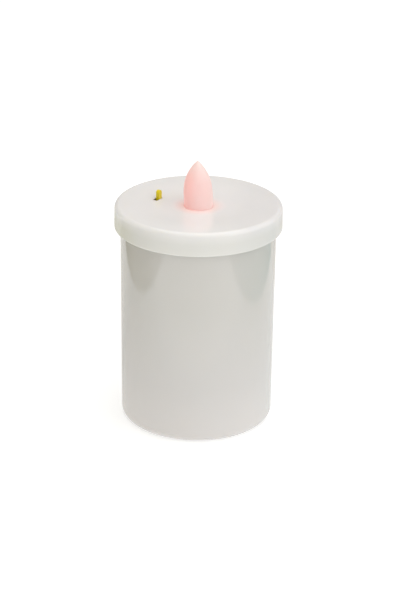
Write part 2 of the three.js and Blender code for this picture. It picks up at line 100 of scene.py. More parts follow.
SWITCH_TURN = radians(60)  # from -X towards -Y: the way the knob slides
SWITCH_X, SWITCH_Y = middle("switch_housing")
SWITCH_LENGTH = 8.6 * MM
SWITCH_DEPTH = 3.8 * MM
SWITCH_SHEET = 0.3 * MM
SWITCH_TRAVEL = 2 * MM
KNOB_WIDTH = 2.4 * MM
KNOB_DEPTH = 1.6 * MM
SLOT_LENGTH = KNOB_WIDTH + SWITCH_TRAVEL + GAP
SLOT_WIDTH = KNOB_DEPTH + GAP
SLOT_LIP = 0.2 * MM
SLIDER_LENGTH = 4.4 * MM
SLIDER_DEPTH = 2.8 * MM
SLIDER_HEIGHT = 2.1 * MM

CELL_X = 13.5 * MM
CELL_R = 13.1 * MM
BAY_R = 13.4 * MM
HOLDER_R = 14.8 * MM
HOLDER_PLATE = 1.6 * MM
HOLDER_OPEN_Y = -5 * MM
WAIST_Y = 5 * MM

LEAD_WIDTH = 0.5 * MM  # of a square lead
WIRE_R = 0.25 * MM  # of a round one
PIN_PITCH = 2.5 * MM
RESISTOR_REACH = 5 * MM
CAPACITOR_REACH = 1.27 * MM
PAD_Y = BOARD_HIGH.y - 2.8 * MM
RED_PAD_X = -9.5 * MM
BLACK_PAD_X = 8.5 * MM


# ---- Paths ----


def arc(centre, radius, start, end, steps):
    """Points on an arc about centre, from one angle to another, both in degrees."""
    turn = [radians(start + (end - start) * i / steps) for i in range(steps + 1)]
    return [Vector(centre) + radius * Vector((cos(a), sin(a))) for a in turn]


def fillet(before, corner, after, radius, steps=6):
    """Points on the arc that rounds one corner of a path."""
    u, v = (before - corner).normalized(), (after - corner).normalized()
    half = u.angle(v) / 2
    room = 0.49 * min((before - corner).length, (after - corner).length)
    reach = min(radius / tan(half), room)
    radius = reach * tan(half)
    centre = corner + (u + v).normalized() * (radius / sin(half))
    start, end = corner + u * reach - centre, corner + v * reach - centre
    first = atan2(start.y, start.x)
    sweep = (atan2(end.y, end.x) - first + pi) % (2 * pi) - pi
    return arc(centre, radius, degrees(first), degrees(first + sweep), steps)


def filled(path, longest=4 * MM, margin=0.3 * MM):
    """The same path, with points added along its long straight stretches."""
    points = [path[0]]
    for a, b in zip(path, path[1:]):
        length = (b - a).length
        if length > 4 * margin:
            count = max(1, round((length - 2 * margin) / longest))
            spans = [margin + (length - 2 * margin) * i / count for i in range(count + 1)]
            points += [a + (b - a) * (s / length) for s in spans]
        points.append(b)
    return points


def rounded(corners, closed=False, steps=6):
    """A path through corners, each (x, y) or (x, y, radius), rounded where a radius is given."""
    points = [Vector(c[:2]) for c in corners]
    path = []
    for i, c in enumerate(corners):
        inner = closed or 0 < i < len(corners) - 1
        if inner and len(c) > 2:
            after = points[(i + 1) % len(points)]
            path += fillet(points[i - 1], points[i], after, c[2], steps)
        else:
            path.append(points[i])
    if closed:
        path.append(path[0])
    return filled(path)


# ---- Meshes ----


def shaded(data):
    """Shades a mesh smooth, except across its sharp edges."""
    data.shade_smooth()
    data.set_sharp_from_angle(angle=SHARP)


def placed(name, data):
    """An object in the scene, from a mesh, curve, camera or light."""
    obj = bpy.data.objects.new(name, data)
    bpy.context.scene.collection.objects.link(obj)
    return obj


def made(name, mesh, *materials):
    """An object from a bmesh."""
    bmesh.ops.recalc_face_normals(mesh, faces=mesh.faces)
    data = bpy.data.meshes.new(name)
    mesh.to_mesh(data)
    mesh.free()
    shaded(data)
    for material in materials:
        data.materials.append(material)
    return placed(name, data)


def lathe(name, path, *materials, segments=ROUND, closed=False):
    """A body of revolution about Z. The path's points are (radius, height), anticlockwise."""
    mesh = bmesh.new()
    turn = [2 * pi * k / segments for k in range(segments)]
    path = [Vector(p) for p in path]
    if closed and (path[0] - path[-1]).length < 1e-7:
        path = path[:-1]
    rings = []
    for p in path:
        angles = turn[:1] if p.x < 1e-6 else turn  # one point on the axis
        rings.append([mesh.verts.new((p.x * cos(a), p.x * sin(a), p.y)) for a in angles])
    pairs = list(zip(rings, rings[1:]))
    if closed:
        pairs.append((rings[-1], rings[0]))
    for low, high in pairs:
        for k in range(segments):
            m = (k + 1) % segments
            ends = [low[k % len(low)], low[m % len(low)], high[m % len(high)], high[k % len(high)]]
            corners = list(dict.fromkeys(ends))
            if len(corners) > 2:
                mesh.faces.new(corners)
    return made(name, mesh, *materials)


def loft(name, rings, *materials):
    """A closed body through rings of points, all of one length, from the first ring to the last."""
    mesh = bmesh.new()
    rows = [[mesh.verts.new(p) for p in ring] for ring in rings]
    for low, high in zip(rows, rows[1:]):
        for k in range(len(low)):
            m = (k + 1) % len(low)
            mesh.faces.new([low[k], low[m], high[m], high[k]])
    mesh.faces.new(list(reversed(rows[0])))
    mesh.faces.new(rows[-1])
    return made(name, mesh, *materials)


def slab(name, outline, bottom, top, edge, *materials, steps=3):
    """An upright prism with rounded edges. outline(inset) gives its section, moved inwards by inset."""
    turns = [pi / 2 * i / steps for i in range(steps + 1)]
    levels = [(edge * (1 - sin(a)), edge * (1 - cos(a))) for a in turns]
    rows = [(inset, bottom + rise) for inset, rise in levels]
    rows += [(inset, top - rise) for inset, rise in reversed(levels)]
    rings = [[(p.x, p.y, z) for p in outline(inset)] for inset, z in rows]
    return loft(name, rings, *materials)


def plate(name, node, outline, edge, *materials):
    """A slab as tall as a node's box."""
    low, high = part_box(node)
    return slab(name, outline, low.z, high.z, edge, *materials)


def rectangle(x, y, width, depth, corner, steps=5):
    """A rounded rectangle's outline, for slab()."""

    def outline(inset):
        c = max(corner - inset, 0.02 * MM)
        w, d = width / 2 - inset - c, depth / 2 - inset - c
        places = [(w, -d, -90), (w, d, 0), (-w, d, 90), (-w, -d, 180)]
        points = []
        for dx, dy, start in places:
            points += arc((x + dx, y + dy), c, start, start + 90, steps)
        return points

    return outline


def disc(x, y, radius, sides=32):
    """A circle's outline, for slab()."""
    last = 360 * (sides - 1) / sides
    return lambda inset: arc((x, y), radius - inset, 0, last, sides - 1)


def smooth_route(points, spans=8):
    """A Catmull-Rom curve through points."""
    points = [Vector(p) for p in points]
    ends = [2 * points[0] - points[1], *points, 2 * points[-1] - points[-2]]
    route = []
    for a, b, c, d in zip(ends, ends[1:], ends[2:], ends[3:]):
        for i in range(spans):
            t = i / spans
            bend = (2 * a - 5 * b + 4 * c - d) * t * t + (3 * b - 3 * c + d - a) * t**3
            route.append((2 * b + (c - a) * t + bend) / 2)
    route.append(points[-1])
    return route


def tube(name, route, radius, *materials):
    """A round rod along a route, closed at both ends."""
    curve = bpy.data.curves.new(name, "CURVE")
    curve.dimensions = "3D"
    curve.bevel_depth = radius
    curve.bevel_resolution = 3  # 16 sides
    curve.use_fill_caps = True
    spline = curve.splines.new("POLY")
    spline.points.add(len(route) - 1)
    for point, place in zip(spline.points, route):
        point.co = (*place, 1)
    carrier = placed(name, curve)
    bpy.context.view_layer.update()
    mesh = bmesh.new()
    mesh.from_mesh(carrier.to_mesh())
    bpy.data.objects.remove(carrier)
    bmesh.ops.remove_doubles(mesh, verts=mesh.verts, dist=1e-7)
    return made(name, mesh, *materials)


def joined(name, *parts):
    """One object from several, keeping their materials."""
    materials = list(dict.fromkeys(m for part in parts for m in part.data.materials))
    mesh = bmesh.new()
    for part in parts:
        first = len(mesh.faces)
        mesh.from_mesh(part.data)
        mesh.faces.ensure_lookup_table()
        own = [materials.index(m) for m in part.data.materials]
        for face in mesh.faces[first:]:
            face.material_index = own[face.material_index]
    for part in parts:
        bpy.data.objects.remove(part)
    return made(name, mesh, *materials)


def carved(obj, *tools, operation="DIFFERENCE"):
    """Takes the tools' shapes out of obj, or adds them to it."""
    for tool in tools:
        modifier = obj.modifiers.new("carved", "BOOLEAN")
        modifier.operation = operation
        modifier.solver = "EXACT"
        modifier.object = tool
        bpy.context.view_layer.update()
        evaluated = obj.evaluated_get(bpy.context.evaluated_depsgraph_get())
        result = bpy.data.meshes.new_from_object(evaluated)
        obj.modifiers.clear()
        obj.data = result
        bpy.data.objects.remove(tool)
    shaded(obj.data)
    return obj


def fused(obj, *others):
    """One closed body from several that overlap."""
    return carved(obj, *others, operation="UNION")


def moved(obj, x=0, y=0, z=0, turn=0, axis="Z"):
    """Turns and then shifts an object's mesh, so that the object itself stays at the origin."""
    obj.data.transform(Matrix.Translation((x, y, z)) @ Matrix.Rotation(turn, 4, axis))
    return obj


def painted(obj, rule):
    """Gives each face the material whose number the rule makes of the face's centre."""
    for polygon in obj.data.polygons:
        polygon.material_index = rule(polygon.center)
    return obj


def piece(obj, node, body="lid_unit"):
    """Puts a finished piece on its body, in place of its CAD node."""
    modifier = obj.modifiers.new("even_normals", "WEIGHTED_NORMAL")
    modifier.keep_sharp = True
    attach(obj, body)
    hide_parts(node)


# ---- Materials ----


class Nodes:
    """A node tree, whose nodes vary with the place on the object or with the direction."""

    def __init__(self, tree, coordinates):
        self.tree = tree
        self.place = self.node("TexCoord").outputs[coordinates]

    def join(self, output, socket):
        self.tree.links.new(output, socket)

    def node(self, kind, values=None):
        """A new shader node, with some of its inputs set."""
        node = self.tree.nodes.new("ShaderNode" + kind)
        for socket, value in (values or {}).items():
            node.inputs[socket].default_value = value
        return node

    def noise(self, scale, detail=3.0, stretch=(1, 1, 1)):
        """Noise with features of about 1 / scale metres."""
        mapping = self.node("Mapping", {"Scale": stretch})
        noise = self.node("TexNoise", {"Scale": scale, "Detail": detail})
        self.join(self.place, mapping.inputs["Vector"])
        self.join(mapping.outputs["Vector"], noise.inputs["Vector"])
        return noise.outputs["Fac"]

    def ramp(self, source, stops, interpolation="LINEAR"):
        """A colour ramp; stops are (position, colour)."""
        node = self.node("ValToRGB")
        node.color_ramp.interpolation = interpolation
        elements = node.color_ramp.elements
        while len(elements) < len(stops):
            elements.new(0.5)
        for element, (position, colour) in zip(elements, stops):
            element.position = position
            element.color = (*colour, 1)
        self.join(source, node.inputs["Fac"])
        return node.outputs["Color"]

    def spread(self, source, values):
        """A value mapped from one range to another; values are the ends that aren't 0 or 1."""
        node = self.node("MapRange", values)
        self.join(source, node.inputs["Value"])
        return node.outputs["Result"]

    def along(self, axis, low, high):
        """From 0 at one place along an axis to 1 at another."""
        split = self.node("SeparateXYZ")
        self.join(self.place, split.inputs["Vector"])
        return self.spread(split.outputs[axis], {"From Min": low, "From Max": high})

    def from_axis(self, low, high):
        """From 0 at one distance from the Z axis to 1 at another."""
        flat = self.node("VectorMath", {1: (1, 1, 0)})
        flat.operation = "MULTIPLY"
        self.join(self.place, flat.inputs[0])
        length = self.node("VectorMath")
        length.operation = "LENGTH"
        self.join(flat.outputs["Vector"], length.inputs[0])
        return self.spread(length.outputs["Value"], {"From Min": low, "From Max": high})

    def tinted(self, first, second, share=None):
        """Two colours multiplied, or only by a share of the second where one is given."""
        mix = self.node("Mix", {"Factor": 1.0})
        mix.data_type = "RGBA"
        mix.blend_type = "MULTIPLY"
        if share:
            self.join(share, mix.inputs["Factor"])
        self.join(first, mix.inputs["A"])
        self.join(second, mix.inputs["B"])
        return mix.outputs["Result"]


class Finish(Nodes):
    """A material around one Principled shader."""

    def __init__(self, name, roughness, metallic=0.0, ior=1.5):
        self.material = bpy.data.materials.new(name)
        self.material.use_nodes = True
        super().__init__(self.material.node_tree, "Object")
        self.shader = self.tree.nodes["Principled BSDF"]
        self.set("Roughness", roughness)
        self.set("Metallic", metallic)
        self.set("IOR", ior)

    def set(self, socket, value):
        self.shader.inputs[socket].default_value = value

    def colour(self, output):
        self.join(output, self.shader.inputs["Base Color"])

    def glow(self, output, strength):
        """Light of its own, in a colour that varies."""
        self.join(output, self.shader.inputs["Emission Color"])
        self.set("Emission Strength", strength)

    def mottle(self, colour, share=0.04, scale=90.0):
        """A base colour that varies softly by a share of itself."""
        dark = tuple(c * (1 - share) for c in colour)
        self.colour(self.ramp(self.noise(scale), [(0.35, dark), (0.65, colour)]))

    def rough(self, low, high, scale=400.0):
        """Roughness that varies between two values."""
        varied = self.spread(self.noise(scale, 4.0), {"To Min": low, "To Max": high})
        self.join(varied, self.shader.inputs["Roughness"])

    def bump(self, *layers, stretch=(1, 1, 1)):
        """Surface relief; each layer is (scale, depth in metres)."""
        normal = None
        for scale, depth in layers:
            node = self.node("Bump", {"Distance": depth})
            self.join(self.noise(scale, 3.0, stretch), node.inputs["Height"])
            if normal:
                self.join(normal, node.inputs["Normal"])
            normal = node.outputs["Normal"]
        self.join(normal, self.shader.inputs["Normal"])

    def milky(self, weight, depths):
        """Light that soaks into the surface, by these depths for red, green and blue."""
        self.set("Subsurface Weight", weight)
        self.set("Subsurface Radius", depths)
        self.set("Subsurface Scale", 1.0)


def cup_plastic(name, glow=0):
    """Milky styrene. The glow, for the cup's inside, is painted light that stands in for the daylight
    coming through the wall.
    """
    finish = Finish(name, 0.08, ior=1.59)
    # Partly painted light: the wall lightens towards its foot for the light the floor throws up onto it,
    # and partly for the thick base behind its lowest part.
    foot, belly, upper = (0.70, 0.672, 0.658), (0.616, 0.600, 0.586), (0.572, 0.560, 0.532)
    rise = finish.along("Z", 0, 60 * MM)
    finish.colour(finish.ramp(rise, [(0.0, foot), (0.4, belly), (1.0, upper)]))
    finish.rough(0.06, 0.10, 700)
    finish.bump((38, 0.05 * MM), (2500, 0.002 * MM))
    finish.milky(0.25, (0.003, 0.0026, 0.0022))
    finish.set("Coat Weight", 1.0)
    finish.set("Coat Roughness", 0.06)
    # Painted glow for the cup's inside, in place of the daylight through its wall; none on the outside.
    finish.set("Emission Color", (0.62, 0.605, 0.58, 1))
    finish.set("Emission Strength", glow)
    return finish.material


def lid_plastic():
    """Milky white, through which the flame's flange shows a little. Round the flame it carries painted
    light, a pink tint and glow; painted shade greys its right end and darkens its skirt's left end.
    """
    finish = Finish("lid_plastic", 0.22)
    white, black = (1, 1, 1), (0, 0, 0)
    skirt, top = (0.730, 0.724, 0.694), (0.786, 0.775, 0.766)
    skirt_z, top_z = 90 * MM, 94 * MM
    body = finish.ramp(finish.along("Z", skirt_z, top_z), [(0.0, skirt), (1.0, top)])

    # Painted shade: the skirt darkens and turns olive towards its left end, for the dim warm
    # surroundings on that side.
    left_end = finish.along("X", LID_LOW.x, LID_LOW.x + 11 * MM)
    painted_left_shade = finish.ramp(left_end, [(0.0, (0.915, 0.915, 0.82)), (1.0, white)])
    body = finish.tinted(body, painted_left_shade, finish.along("Z", top_z, skirt_z))

    # Painted shade: the lid greys towards its right end.
    right_end = finish.along("X", 12 * MM, LID_HIGH.x)
    greyer, greyest = (0.957, 0.957, 0.965), (0.94, 0.94, 0.95)
    painted_right_shade = finish.ramp(right_end, [(0.0, white), (0.43, greyer), (1.0, greyest)])
    cloud = finish.ramp(finish.noise(60), [(0.35, (0.98, 0.98, 0.98)), (0.65, white)])
    # Partly painted light: the pink tint round the hole stands for the flame's light falling on the lid;
    # the flange below also shows through a little.
    near_hole = finish.from_axis(6 * MM, 10.5 * MM)
    flange = finish.ramp(near_hole, [(0.0, (1, 0.86, 0.83)), (0.35, (1, 0.93, 0.91)), (1.0, white)])
    for tint in (painted_right_shade, cloud, flange):
        body = finish.tinted(body, tint)
    finish.colour(body)

    # Painted light: a pink glow round the flame's foot, fading outwards, for the flame's light spilling
    # onto the lid.
    painted_glow_reach = finish.from_axis(6 * MM, 12 * MM)
    pink, pinker, red = (0.13, 0.055, 0.045), (0.09, 0.03, 0.025), (0.05, 0.01, 0.01)
    finish.glow(finish.ramp(painted_glow_reach, [(0.0, pink), (0.3, pinker), (0.55, red), (1.0, black)]), 1.0)
    finish.rough(0.14, 0.20, 600)
    finish.bump((60, 0.03 * MM), (2200, 0.006 * MM))
    finish.milky(0.35, (0.004, 0.0036, 0.003))
    return finish.material


def flame_plastic():
    """Pink, with painted shade that deepens its left side and pales its right, and a weak glow that
    fades towards its tip.
    """
    finish = Finish("flame_plastic", 0.36, ior=1.47)
    rise = finish.along("Z", PANEL_TOP, FLAME_HIGH.z)
    foot, waist, tip = (0.95, 0.63, 0.61), (0.88, 0.58, 0.565), (0.86, 0.65, 0.62)
    body = finish.ramp(rise, [(0.0, foot), (0.55, waist), (1.0, tip)])
    # Painted shade: deeper pink on the left, paler on the right, where the light comes from.
    across = finish.along("X", -FLAME_R, FLAME_R)
    left, centre, right = (1.0, 0.85, 0.82), (0.875, 0.98, 0.975), (0.79, 0.965, 0.94)
    finish.colour(finish.tinted(body, finish.ramp(across, [(0.0, left), (0.45, centre), (1.0, right)])))
    lit = [(0.0, (0.96, 0.52, 0.53)), (0.5, (0.92, 0.48, 0.46)), (1.0, (0.6, 0.36, 0.34))]
    finish.glow(finish.ramp(rise, lit), 0.22)
    finish.set("Specular IOR Level", 0.35)
    finish.bump((300, 0.02 * MM), (3000, 0.004 * MM))
    finish.milky(0.35, (0.004, 0.002, 0.0018))
    return finish.material


def plain_plastic(name, colour, roughness=0.4, share=0.06):
    finish = Finish(name, roughness)
    finish.mottle(colour, share, 250)
    finish.rough(roughness - 0.06, roughness + 0.06, 900)
    finish.bump((3500, 0.008 * MM))
    return finish.material


def bare_metal(name, colour, roughness=0.28):
    finish = Finish(name, roughness, metallic=1.0)
    finish.mottle(colour, 0.12, 500)
    finish.rough(roughness - 0.08, roughness + 0.12, 1500)
    finish.bump((4000, 0.003 * MM), stretch=(1, 1, 0.15))
    return finish.material


def board_laminate():
    finish = Finish("board_laminate", 0.35)
    finish.mottle((0.02, 0.13, 0.05), 0.25, 900)
    finish.bump((2600, 0.01 * MM))
    return finish.material


def cell_sleeve(name, low, high):
    """A plain printed sleeve: a dark body with a copper band towards its positive end."""
    finish = Finish(name, 0.25)
    body, line, band = (0.028, 0.055, 0.075), (0.62, 0.62, 0.6), (0.42, 0.20, 0.06)
    stops = [(0.0, body), (0.66, line), (0.675, band), (0.90, line), (0.915, body)]
    finish.colour(finish.ramp(finish.along("Z", low, high), stops, "CONSTANT"))
    finish.rough(0.2, 0.34, 500)
    finish.bump((900, 0.006 * MM))
    return finish.material


def resistor_paint(centre_x):
    """Pale blue, with four colour bands along X."""
    finish = Finish("resistor_paint", 0.35)
    paint, band_width, half = (0.24, 0.44, 0.56), 0.08, 3 * MM
    orange, black, red, gold = (0.3, 0.13, 0.02), (0.01, 0.01, 0.01), (0.3, 0.01, 0.01), (0.5, 0.3, 0.03)
    stops = [(0.0, paint)]
    for start, band in zip((0.14, 0.34, 0.54, 0.78), (orange, black, red, gold)):
        stops += [(start, band), (start + band_width, paint)]
    finish.colour(finish.ramp(finish.along("X", centre_x - half, centre_x + half), stops, "CONSTANT"))
    finish.bump((2500, 0.006 * MM))
    return finish.material


CUP_PLASTIC = cup_plastic("cup_plastic")
# The cup's inside gets a painted glow in place of the daylight through its wall.
CUP_INSIDE_PAINTED_GLOW = cup_plastic("cup_inside_painted_glow", 0.2)
LID_PLASTIC = lid_plastic()
FLAME_PLASTIC = flame_plastic()
# Painted shade: a dark brown-grey on the walls of the switch's slot, where shadow falls.
SLOT_PAINTED_SHADE = plain_plastic("slot_painted_shade", (0.26, 0.23, 0.15), 0.6)
YELLOW = plain_plastic("yellow_plastic", (0.82, 0.66, 0.005), 0.35)
EPOXY = plain_plastic("led_epoxy", (0.86, 0.74, 0.58), 0.12, 0.02)
TINNED = bare_metal("tinned_wire", (0.72, 0.73, 0.74), 0.3)
NICKEL = bare_metal("nickel_plate", (0.70, 0.67, 0.61), 0.25)
STEEL = bare_metal("steel", (0.62, 0.63, 0.64), 0.33)
SOLDER = bare_metal("solder", (0.60, 0.60, 0.62), 0.22)
LAMINATE = board_laminate()
TRACE = plain_plastic("covered_trace", (0.035, 0.22, 0.07), 0.3)
RESIN = plain_plastic("black_resin", (0.012, 0.012, 0.012), 0.3)
PHENOLIC = plain_plastic("brown_phenolic", (0.09, 0.04, 0.016), 0.6)
CAPACITOR_RESIN = plain_plastic("capacitor_resin", (0.55, 0.25, 0.03), 0.3)
HOLDER_PLASTIC = plain_plastic("holder_plastic", (0.022, 0.022, 0.025), 0.45)
WASHER = plain_plastic("cell_washer", (0.05, 0.05, 0.055), 0.6)
MARKING = plain_plastic("pale_marking", (0.72, 0.72, 0.70), 0.4)
RED_VINYL = plain_plastic("red_vinyl", (0.45, 0.02, 0.012), 0.4)
BLACK_VINYL = plain_plastic("black_vinyl", (0.012, 0.012, 0.013), 0.4)


# ---- Cup ----


def cup_inside_painted_glow(point):
    """1 for a face of the cup's inside, below its rim, which gets the painted glow, and 0 for any other.
    """
    inner_r = CUP_HIGH.x - CUP_WALL + 0.05 * MM
    return int(point.z > CUP_FLOOR - 0.1 * MM and hypot(point.x, point.y) < inner_r)


def cup():
    top_r, base_r = CUP_HIGH.x, CUP_HIGH.x - CUP_DRAFT
    corners = [
        (0, FOOT_RISE),
        (FOOT_R - FOOT_RISE, FOOT_RISE, 0.5 * MM),
        (FOOT_R, 0, 0.35 * MM),
        (base_r, 0, CUP_EDGE),
        (top_r, CUP_HIGH.z, 0.6 * MM),
        (top_r - CUP_WALL, CUP_HIGH.z, 0.6 * MM),
        (base_r - CUP_WALL, CUP_FLOOR, CUP_EDGE - CUP_WALL),
        (0, CUP_FLOOR),
    ]
    shell = lathe("cup_shell", rounded(corners, steps=12), CUP_PLASTIC, CUP_INSIDE_PAINTED_GLOW)
    piece(painted(shell, cup_inside_painted_glow), "cup", "base")


# ---- Lid ----


def lid_height(radius):
    """The height of the lid's top, which falls from rim to flat middle along half a cosine wave."""
    share = (DISH_OUTER_R - radius) / (DISH_OUTER_R - DISH_INNER_R)
    return LID_HIGH.z - DISH_DEPTH * (1 - cos(pi * min(1, max(0, share)))) / 2


def dish_path(steps=24):
    radii = [DISH_OUTER_R + (DISH_INNER_R - DISH_OUTER_R) * i / steps for i in range(steps + 1)]
    return [Vector((radius, lid_height(radius))) for radius in radii]


def lid_path():
    outer, top = LID_HIGH.x, LID_HIGH.z
    hole, skirt = HOLE_R, outer - SKIRT_WALL
    under = [
        (hole, PANEL_TOP - 0.6 * MM),
        (hole, PANEL_UNDER, 0.3 * MM),
        (PLUG_R - PLUG_WALL, PANEL_UNDER, 0.8 * MM),
        (PLUG_R - PLUG_WALL, LID_LOW.z + 0.1 * MM, 0.5 * MM),
        (PLUG_R, LID_LOW.z + 0.1 * MM, 0.6 * MM),
        (PLUG_R, PANEL_UNDER, 0.5 * MM),
        (skirt, PANEL_UNDER, 0.5 * MM),
        (skirt, top - SKIRT_HEIGHT, 0.5 * MM),
        (outer, top - SKIRT_HEIGHT, 0.5 * MM),
        (outer - LID_DRAFT, top, LID_EDGE),
        (DISH_OUTER_R, top),
    ]
    edge = 0.2 * MM
    mouth = arc((hole + edge, PANEL_TOP - edge), edge, 90, 180, 5)
    flat = filled([Vector((DISH_INNER_R, PANEL_TOP)), Vector((hole + edge, PANEL_TOP))])
    return rounded(under, steps=12) + dish_path()[1:] + flat[1:-1] + mouth


def slot_cutter():
    """A block that cuts the switch's slot through the lid; its rounded lip follows the lid's top."""
    section = rectangle(0, 0, SLOT_LENGTH, SLOT_WIDTH, 0.4 * MM)
    rows = [(0, SLOT_LIP)]
    for turn in (20, 40, 60):
        a = radians(turn)
        rows.append((-SLOT_LIP * (1 - cos(a)), SLOT_LIP * (1 - sin(a))))
    clear_of_lip = -1.02 * SLOT_LIP
    rows += [(clear_of_lip, -0.17 * SLOT_LIP), (clear_of_lip, -MM)]
    place = Matrix.Translation((SWITCH_X, SWITCH_Y, 0)) @ Matrix.Rotation(SWITCH_TURN, 4, "Z")
    rings = [[place @ Vector((p.x, p.y, PANEL_UNDER - MM)) for p in section(0)]]
    for inset, depth in rows:
        ring = [place @ p.to_3d() for p in section(inset)]
        rings.append([Vector((p.x, p.y, lid_height(hypot(p.x, p.y)) - depth)) for p in ring])
    return loft("slot_cutter", rings)


def slot_painted_shade(point):
    """1 for a face of the lid on the walls of the switch's slot below its lip, which gets painted shade,
    and 0 for any other.
    """
    x, y = point.x - SWITCH_X, point.y - SWITCH_Y
    along = x * cos(SWITCH_TURN) + y * sin(SWITCH_TURN)
    across = y * cos(SWITCH_TURN) - x * sin(SWITCH_TURN)
    inside = abs(along) < SLOT_LENGTH / 2 + 0.02 * MM and abs(across) < SLOT_WIDTH / 2 + 0.02 * MM
    below_lip = point.z < lid_height(hypot(point.x, point.y)) - SLOT_LIP
    return int(inside and below_lip)


def boss(x, y, radius, bore, bottom):
    """A hollow post under the lid, for a screw."""
    shape = slab("boss", disc(x, y, radius), bottom, PANEL_UNDER + 0.4 * MM, 0.25 * MM, LID_PLASTIC)
    return carved(shape, slab("bore", disc(x, y, bore), bottom - MM, PANEL_UNDER - 0.6 * MM, 0.05 * MM))


def lid():
    shell = lathe("lid_shell", lid_path(), LID_PLASTIC, SLOT_PAINTED_SHADE, closed=True)
    # The slot's walls below the lip get painted shade.
    shell = painted(carved(shell, slot_cutter()), slot_painted_shade)
    bosses = []
    for side in SIDES:
        bosses.append(boss(*middle(f"board_screw_{side}"), 2.6 * MM, 1.2 * MM, BOARD_HIGH.z + GAP))
        bosses.append(boss(*middle(f"holder_screw_{side}"), 3.0 * MM, 1.3 * MM, HOLDER_HIGH.z + GAP))
    piece(joined("lid_shell", shell, *bosses), "lid")


# ---- Flame ----


def flame_radius(share):
    """The flame's radius at a share of its height."""
    bulge = 1 + 0.035 * sin(pi * min(1, share / 0.8))
    return FLAME_R * bulge * (1 - share**3.6)


def flame_surface(wall, height, steps=48):
    """The flame's outline from its foot to its tip, moved inwards by the wall."""
    path = []
    for i in range(steps + 1):
        share = sin(pi / 2 * i / steps)
        radius = max(0, flame_radius(share) - wall)
        path.append((radius, PANEL_TOP + share * height))
        if radius == 0:
            break
    return path


def flame():
    flange_r, flange_top = FLAME_HIGH.x, PANEL_UNDER - GAP
    inner_r = FLAME_R - FLAME_WALL
    foot = [
        (inner_r, PANEL_TOP - 0.2 * MM),
        (inner_r, FLAME_LOW.z, 0.2 * MM),
        (flange_r, FLAME_LOW.z, 0.25 * MM),
        (flange_r, flange_top, 0.25 * MM),
        (FLAME_R, flange_top, 0.2 * MM),
        (FLAME_R, PANEL_TOP - 0.2 * MM),
    ]
    outside = flame_surface(0, FLAME_HEIGHT)
    inside = flame_surface(FLAME_WALL, FLAME_HEIGHT - FLAME_TIP_WALL)
    path = list(reversed(inside)) + rounded(foot) + outside
    bulb = lathe("flame_bulb", path, FLAME_PLASTIC, segments=96)
    for v in bulb.data.vertices:
        share = max(0, (v.co.z - PANEL_TOP) / FLAME_HEIGHT)
        v.co.x += FLAME_LEAN * sin(pi / 2 * share)
    piece(bulb, "flame_cap")


# ---- Slide switch ----


def square_lead(name, node, x, y, corner):
    """A tinned lead as tall as its node's box."""
    return plate(name, node, rectangle(x, y, LEAD_WIDTH, LEAD_WIDTH, corner), 0.1 * MM, TINNED)


def seated(obj):
    """Switch parts are drawn about the switch's middle, with the travel along -X, then put in place."""
    return moved(obj, SWITCH_X, SWITCH_Y, 0, SWITCH_TURN)


def knob():
    """An upright blade with a rounded top on a slider."""
    waist = KNOB_LOW.z + SLIDER_HEIGHT
    top = KNOB_HIGH.z - KNOB_WIDTH / 2

    def blade(inset):
        r = KNOB_WIDTH / 2 - inset
        foot = waist - 0.5 * MM + inset
        return [Vector((-r, foot)), Vector((r, foot)), *arc((0, top), r, 0, 180, 16)]

    stem = slab("stem", blade, -KNOB_DEPTH / 2, KNOB_DEPTH / 2, 0.25 * MM, YELLOW, steps=5)
    moved(stem, turn=pi / 2, axis="X")
    outline = rectangle(0, 0, SLIDER_LENGTH, SLIDER_DEPTH, 0.3 * MM)
    slider = slab("slider", outline, KNOB_LOW.z, waist, 0.15 * MM, YELLOW)
    whole = seated(moved(joined("knob_blade", stem, slider), SWITCH_TRAVEL / 2))
    piece(whole, "switch_knob", "switch_slider")


def switch():
    """The metal shell, its base with three pins, and the wiper inside."""
    case = rectangle(0, 0, SWITCH_LENGTH, SWITCH_DEPTH, 0.6 * MM)
    shell = plate("switch_shell", "switch_housing", case, 0.2 * MM, STEEL)
    room = rectangle(0, 0, SWITCH_LENGTH - 2 * SWITCH_SHEET, SWITCH_DEPTH - 2 * SWITCH_SHEET, 0.35 * MM)
    inside = slab("inside", room, SWITCH_LOW.z - MM, SWITCH_HIGH.z - SWITCH_SHEET, 0.1 * MM)
    mouth = rectangle(0, 0, SLOT_LENGTH, SLOT_WIDTH, 0.3 * MM)
    opening = slab("opening", mouth, SWITCH_HIGH.z - MM, SWITCH_HIGH.z + MM, 0.05 * MM)
    piece(seated(carved(shell, inside, opening)), "switch_housing")

    foot = rectangle(0, 0, SWITCH_LENGTH, SWITCH_DEPTH, 0.4 * MM)
    foot = plate("switch_foot", "switch_base", foot, 0.1 * MM, PHENOLIC)
    piece(seated(foot), "switch_base")

    bar = rectangle(SWITCH_TRAVEL / 2, 0, SLIDER_LENGTH - 0.6 * MM, MM, 0.3 * MM)
    wiper = plate("wiper_bar", "switch_wiper", bar, 0.08 * MM, NICKEL)
    piece(seated(wiper), "switch_wiper", "switch_slider")

    for number in (1, 2, 3):
        node = f"switch_pin_{number}"
        pin = square_lead(f"pin_{number}", node, (number - 2) * PIN_PITCH, 0, 0.08 * MM)
        piece(seated(pin), node)


# ---- LED ----


